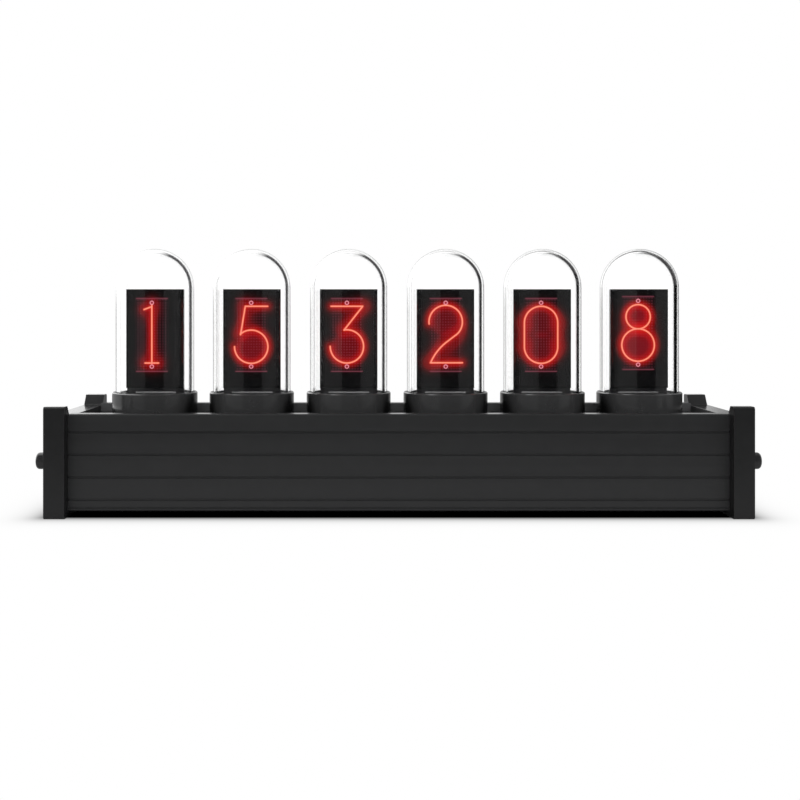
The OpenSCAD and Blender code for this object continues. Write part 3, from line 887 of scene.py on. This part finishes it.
def displayFace(name, node, shown, finish, fittings):
    material, tree, shader = newMaterial(name)
    low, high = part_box(node)
    middle = (low + high) / 2
    heart = (middle.x + shown["shift"] * mm, 0, middle.z + shown.get("lift", 0.0) * mm)
    place = vectorCalc(tree, "SUBTRACT", objectPlace(tree), heart)
    x, _, z = splitXyz(tree, scaleVector(tree, place, 1 / mm))
    point = joinXyz(tree, x, z, 0.0)
    picture = numeralPicture(tree, point, numerals[shown["digit"]])

    # fine anode mesh behind the wires
    dots = addNode(tree, "ShaderNodeTexVoronoi", feature="F1", voronoi_dimensions="2D")
    feed(tree, dots.inputs["Vector"], point)
    dots.inputs["Scale"].default_value = 1 / fittings["meshPitch"]
    dots.inputs["Randomness"].default_value = 0.0
    dot = remap(tree, dots.outputs["Distance"], *fittings["meshDot"], 1.0, 0.0, smooth=True)
    meshEdge = fittings["meshHalf"]
    meshStart = meshEdge - fittings["meshFade"]
    inWidth = remap(tree, calc(tree, "ABSOLUTE", x), meshStart, meshEdge, 1.0, 0.0)
    barTop, barFoot = fittings["barHeights"]
    offMiddle = calc(tree, "ABSOLUTE", calc(tree, "SUBTRACT", z, (barTop + barFoot) / 2))
    inHeight = calc(tree, "LESS_THAN", offMiddle, (barTop - barFoot) / 2)
    field = calc(tree, "MULTIPLY", inWidth, inHeight)
    veil = scaleVector(tree, numeralGlow["mesh"], calc(tree, "MULTIPLY", field, dot))
    picture = vectorCalc(tree, "ADD", picture, veil)

    # end bars and the little eyes that hold the wires
    half = fittings["barHalf"]
    barLines = [("line", (-half, height), (half, height)) for height in fittings["barHeights"]]
    ringLines = [("arc", (0, height), fittings["ringRadius"], 0, 360) for height in fittings["ringHeights"]]
    bars = gather(tree, "MINIMUM", strokeGaps(tree, point, barLines)[0])
    rings = gather(tree, "MINIMUM", strokeGaps(tree, point, ringLines)[0])
    width = fittings["barWidth"]
    barMask = remap(tree, bars, width * fittings["barSoft"], width, 1.0, 0.0, smooth=True)
    full, gone = [fittings["ringWidth"] * share for share in fittings["ringSoft"]]
    ringMask = remap(tree, rings, full, gone, 1.0, 0.0, smooth=True)
    picture = vectorCalc(tree, "ADD", picture, scaleVector(tree, fittings["barColour"], barMask))
    picture = blendColour(tree, ringMask, picture, fittings["ringColour"])

    normal = addNode(tree, "ShaderNodeNewGeometry").outputs["Normal"]
    frontFace = remap(tree, splitXyz(tree, normal)[1], *finish["frontTurn"], 0.0, 1.0)
    feed(tree, shader.inputs["Emission Color"], scaleVector(tree, picture, frontFace))
    shader.inputs["Emission Strength"].default_value = 1.0
    grain = useGroup(tree, surfaceGrain, Scale=finish["grain"])["Mottle"]
    feed(tree, shader.inputs["Base Color"], blendColour(tree, grain, finish["face"], finish["mottled"]))
    smear = useGroup(tree, wipedSmudge, Clean=finish["clean"], Smeared=finish["smeared"])["Roughness"]
    feed(tree, shader.inputs["Roughness"], smear)
    return material


# Dress the CAD pieces

def dress(node, material):
    piece = nodes[node]
    if not piece.material_slots:
        piece.data.materials.append(material)
    for slot in piece.material_slots:
        slot.material = material


softEdge = {
    "weld": 0.002 * mm,
    "flatAngle": math.radians(1),
    "sharpAngle": math.radians(35),
    "segments": 2,
}
softWidths = {
    "left_end_plate": 0.18 * mm,
    "right_end_plate": 0.18 * mm,
    "front_wall": 0.06 * mm,
    "rear_wall": 0.06 * mm,
}


def softenEdges(node, width):
    piece = nodes[node]
    weld = piece.modifiers.new("weld", "WELD")
    weld.merge_threshold = softEdge["weld"]
    flat = piece.modifiers.new("flatFaces", "DECIMATE")
    flat.decimate_type = "DISSOLVE"
    flat.angle_limit = softEdge["flatAngle"]
    bevel = piece.modifiers.new("softEdge", "BEVEL")
    bevel.width = width
    bevel.segments = softEdge["segments"]
    bevel.limit_method = "ANGLE"
    bevel.angle_limit = softEdge["sharpAngle"]
    bevel.harden_normals = True


wallMetal = blackFinish("blackAnodised", wallFinish)
platePlastic = blackFinish("mouldedPlate", plateFinish)
collarPlastic = blackFinish("satinCollar", collarFinish)
deckPlastic = blackFinish("deckSheet", deckFinish)
buttonPlastic = blackFinish("buttonCap", buttonFinish)
switchPlastic = blackFinish("mouldedSwitch", switchFinish)
blackScrew = blackFinish("blackOxide", blackScrewFinish)
plainSteel = bareMetal("platedSteel", steelFinish)
turnedBrass = bareMetal("turnedBrass", brassFinish)
carrierBoard = boardLacquer("carrierLacquer", carrierLacquer)
mainBoard = boardLacquer("mainBoardLacquer", mainLacquer)
moduleBoard = boardLacquer("moduleLacquer", moduleLacquer)
inletTongue = contactTongue("contactTongue", tongueFinish)

wornBy = {
    "front_wall": wallMetal,
    "rear_wall": wallMetal,
    "left_end_plate": platePlastic,
    "right_end_plate": platePlastic,
    "deck_plate": deckPlastic,
    "base_plate": deckPlastic,
    "main_board": mainBoard,
    "display_sockets": switchPlastic,
    "standoffs": turnedBrass,
    "controller_board": moduleBoard,
    "controller_shield": plainSteel,
    "battery_holder": switchPlastic,
    "clock_battery": plainSteel,
    "board_chips": switchPlastic,
    "usb_shell": plainSteel,
    "usb_tongue": inletTongue,
    "switch_housings": switchPlastic,
    "end_screws": blackScrew,
    "base_screws": plainSteel,
    "board_screws": plainSteel,
    "collar_screws": plainSteel,
}
for i in range(1, tubeCount + 1):
    wornBy["tube_collar_%d" % i] = collarPlastic
    wornBy["display_board_%d" % i] = carrierBoard
    panel = "display_panel_%d" % i
    wornBy[panel] = displayFace("litDisplay%d" % i, panel, shownTime[i - 1], displayFinish, tubeFittings)
for i in range(1, buttonCount + 1):
    wornBy["button_cap_%d" % i] = buttonPlastic
    wornBy["switch_plunger_%d" % i] = switchPlastic
for node, material in wornBy.items():
    dress(node, material)
print("finishes dressed on %d pieces" % len(wornBy))

for node, width in softWidths.items():
    softenEdges(node, width)
print("edges softened on %d pieces" % len(softWidths))


# Studio: white floor, white backdrop by direction, soft lamps

floorFinish = {
    "colour": (0.80, 0.80, 0.80),
    "tint": (0.99, 1.0),
    "tintScale": 60.0,
    "tintDetail": 4.0,
    "tintContrast": (0.3, 0.7),
    "white": 1.0,
    # painted shadow round the clock's outline
    "shadowInset": 1.0 * mm,  # from the outer faces of the end plates
    "shadowStart": 0.4 * mm,
    "shadowSoft": 4.2 * mm,
    "shadowCurve": 1.1,
    "sheet": ((-280 * mm, -330 * mm), (280 * mm, 450 * mm)),
    "mirrored": 0.4,
    "mirrorFade": (-180 * mm, -90 * mm),  # the walls mirror the floor only this far before the clock
}


def flatSheet(name, low, high, height):
    data = bpy.data.meshes.new(name)
    corners = [(low[0], low[1]), (high[0], low[1]), (high[0], high[1]), (low[0], high[1])]
    data.from_pydata([(x, y, height) for x, y in corners], [], [(0, 1, 2, 3)])
    sheet = bpy.data.objects.new(name, data)
    bpy.context.scene.collection.objects.link(sheet)
    return sheet


def footprintGap(tree, inset):
    # how far a point of the floor lies outside the clock's outline, for the painted shadow
    half = (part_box("right_end_plate")[1].x - inset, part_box("rear_wall")[1].y)
    sides = []
    for place, reach in zip(splitXyz(tree, objectPlace(tree)), half):
        past = calc(tree, "SUBTRACT", calc(tree, "ABSOLUTE", place), reach)
        sides.append(calc(tree, "MAXIMUM", past, 0.0))
    return vectorCalc(tree, "LENGTH", joinXyz(tree, *sides, 0.0), out="Value")


def makeFloor(finish):
    floor = flatSheet("studioFloor", *finish["sheet"], 0.0)
    material = bpy.data.materials.new("whiteFloor")
    material.use_nodes = True
    tree = material.node_tree
    tree.nodes.clear()
    matt = addNode(tree, "ShaderNodeBsdfDiffuse")
    patches = noise(tree, objectPlace(tree), finish["tintScale"], finish["tintDetail"])
    tint = remap(tree, patches, *finish["tintContrast"], *finish["tint"])
    feed(tree, matt.inputs["Color"], scaleVector(tree, finish["colour"], tint))
    path = addNode(tree, "ShaderNodeLightPath").outputs
    seen = calc(tree, "MAXIMUM", path["Is Camera Ray"], path["Is Glossy Ray"])
    seen = calc(tree, "MAXIMUM", seen, path["Is Transmission Ray"])
    # painted shadow: the floor darkens by its distance from the clock's outline, not by the lamps
    gap = calc(tree, "SUBTRACT", footprintGap(tree, finish["shadowInset"]), finish["shadowStart"])
    gap = calc(tree, "DIVIDE", calc(tree, "MAXIMUM", gap, 0.0), finish["shadowSoft"])
    gap = calc(tree, "POWER", gap, finish["shadowCurve"])
    bare = calc(tree, "SUBTRACT", 1.0, calc(tree, "EXPONENT", calc(tree, "MULTIPLY", gap, -1.0)))
    depth = splitXyz(tree, objectPlace(tree))[1]
    near = remap(tree, depth, *finish["mirrorFade"], 0.0, finish["mirrored"], smooth=True)
    solid = calc(tree, "SUBTRACT", 1.0, path["Is Transmission Ray"])
    mirror = calc(tree, "MULTIPLY", path["Is Glossy Ray"], solid)
    dimmed = calc(tree, "MULTIPLY", mirror, calc(tree, "SUBTRACT", 1.0, near))
    shown = calc(tree, "MULTIPLY", bare, calc(tree, "SUBTRACT", 1.0, dimmed))
    glow = addNode(tree, "ShaderNodeEmission")
    feed(tree, glow.inputs["Color"], joinXyz(tree, shown, shown, shown))
    glow.inputs["Strength"].default_value = finish["white"]
    both = addNode(tree, "ShaderNodeMixShader")
    feed(tree, both.inputs["Fac"], seen)
    tree.links.new(matt.outputs[0], both.inputs[1])
    tree.links.new(glow.outputs[0], both.inputs[2])
    output = addNode(tree, "ShaderNodeOutputMaterial")
    tree.links.new(both.outputs[0], output.inputs["Surface"])
    floor.data.materials.append(material)


studio = {
    "ambient": 0.55,
    "white": 1.0,
    "glassWhite": 1.2,
    "glassFlag": 0.015,  # dark line at the right of the glass
    "glassEdge": (1.0, -0.640, 0.45),  # leans over the domes
    "glassFade": 0.12,
    "leftCard": 2.3,  # mirrored in the tops at the left
    "cardTurn": (-12.0, -22.0),  # degrees from straight behind the clock
    "lowCard": 0.5,
    "cardRise": 0.04,
    "rightGrey": 0.50,  # mirrored in the tops at the right
    "greyEdge": (1.0, -0.305, 0.26),
    "greyFade": 0.03,
    "greyRise": (0.05, 0.09),
    "front": 0.010,
    "softbox": 0.17,
    "softboxLeft": (-80.0, -19.0),  # degrees from straight before the clock
    "softboxRight": (37.0, 87.0),
    "softboxRise": (-0.2, 0.75),
    "sideFade": 0.05,
    "bounceLimit": 0.5,
}


def between(tree, value, low, high):
    above = calc(tree, "GREATER_THAN", value, low)
    return calc(tree, "MULTIPLY", above, calc(tree, "LESS_THAN", value, high))


def either(tree, choice, first, second):
    node = addNode(tree, "ShaderNodeMix", data_type="FLOAT")
    feed(tree, node.inputs["Factor"], choice)
    feed(tree, node.inputs[2], first)
    feed(tree, node.inputs[3], second)
    return node.outputs[0]


def makeWorld(light):
    world = bpy.data.worlds.new("studio")
    world.use_nodes = True
    bpy.context.scene.world = world
    tree = world.node_tree
    tree.nodes.clear()
    direction = addNode(tree, "ShaderNodeTexCoord").outputs["Generated"]
    x, y, z = splitXyz(tree, direction)
    path = addNode(tree, "ShaderNodeLightPath").outputs
    through = path["Is Transmission Ray"]

    # behind the clock: white, with a bright card at the left and a dark flag at the right
    side = calc(tree, "ARCTAN2", x, y)
    start, full = [math.radians(angle) for angle in light["cardTurn"]]
    card = remap(tree, side, start, full, light["white"], light["leftCard"])
    card = remap(tree, z, 0.0, light["cardRise"], light["lowCard"], card)
    edge = vectorCalc(tree, "DOT_PRODUCT", direction, light["greyEdge"], out="Value")
    shade = remap(tree, edge, 0.0, light["greyFade"], 0.0, 1.0, smooth=True)
    grey = remap(tree, z, *light["greyRise"], light["glassFlag"], light["rightGrey"])
    onMetal = either(tree, shade, card, grey)
    edge = vectorCalc(tree, "DOT_PRODUCT", direction, light["glassEdge"], out="Value")
    throughGlass = remap(tree, edge, 0.0, light["glassFade"], light["glassWhite"], light["glassFlag"])
    back = either(tree, through, onMetal, throughGlass)

    # in front: dim room with a softbox on either side
    turn = calc(tree, "ARCTAN2", x, calc(tree, "MULTIPLY", y, -1.0))
    boxes = []
    for box in ("softboxLeft", "softboxRight"):
        start, end = [math.radians(angle) for angle in light[box]]
        boxes.append(between(tree, turn, start, end))
    lit = calc(tree, "MULTIPLY", gather(tree, "ADD", boxes), between(tree, z, *light["softboxRise"]))
    front = remap(tree, lit, 0.0, 1.0, light["front"], light["softbox"])
    unmirrored = calc(tree, "LESS_THAN", path["Glossy Depth"], light["bounceLimit"])
    straight = calc(tree, "MULTIPLY", through, unmirrored)
    front = either(tree, straight, front, light["glassWhite"])  # seen through the glass from the rear
    behind = remap(tree, y, -light["sideFade"], light["sideFade"], 0.0, 1.0, smooth=True)
    mirrored = either(tree, behind, front, back)

    shiny = calc(tree, "MAXIMUM", path["Is Glossy Ray"], through)
    strength = either(tree, shiny, light["ambient"], mirrored)
    background = addNode(tree, "ShaderNodeBackground")
    background.inputs["Color"].default_value = (1.0, 1.0, 1.0, 1.0)
    strength = either(tree, path["Is Camera Ray"], strength, light["white"])
    feed(tree, background.inputs["Strength"], strength)
    output = addNode(tree, "ShaderNodeOutputWorld")
    tree.links.new(background.outputs[0], output.inputs["Surface"])


lamps = {
    "overheadLamp": {"place": (0.0, -0.10, 0.95), "aim": (0, 0, 0.03), "size": 0.9, "power": 4.0},
    "frontLamp": {"place": (-0.01, -1.2, 0.28), "aim": (0, 0, 0.03), "size": 0.4, "power": 6.5},
    "leftLamp": {"place": (-0.95, -0.65, 0.45), "aim": (0, 0, 0.03), "size": 0.7, "power": 2.0},
    "rightLamp": {"place": (0.95, -0.65, 0.45), "aim": (0, 0, 0.03), "size": 0.7, "power": 2.0},
}


def makeLamps():
    for name, lamp in lamps.items():
        data = bpy.data.lights.new(name, "AREA")
        data.size = lamp["size"]
        data.energy = lamp["power"]
        light = bpy.data.objects.new(name, data)
        light.location = lamp["place"]
        aim = Vector(lamp["aim"]) - Vector(lamp["place"])
        light.rotation_euler = aim.to_track_quat("-Z", "Y").to_euler()
        light.visible_glossy = False
        light.visible_transmission = False
        bpy.context.scene.collection.objects.link(light)


makeFloor(floorFinish)
makeWorld(studio)
makeLamps()
bpy.context.scene.view_settings.view_transform = "Standard"
print("studio lit")
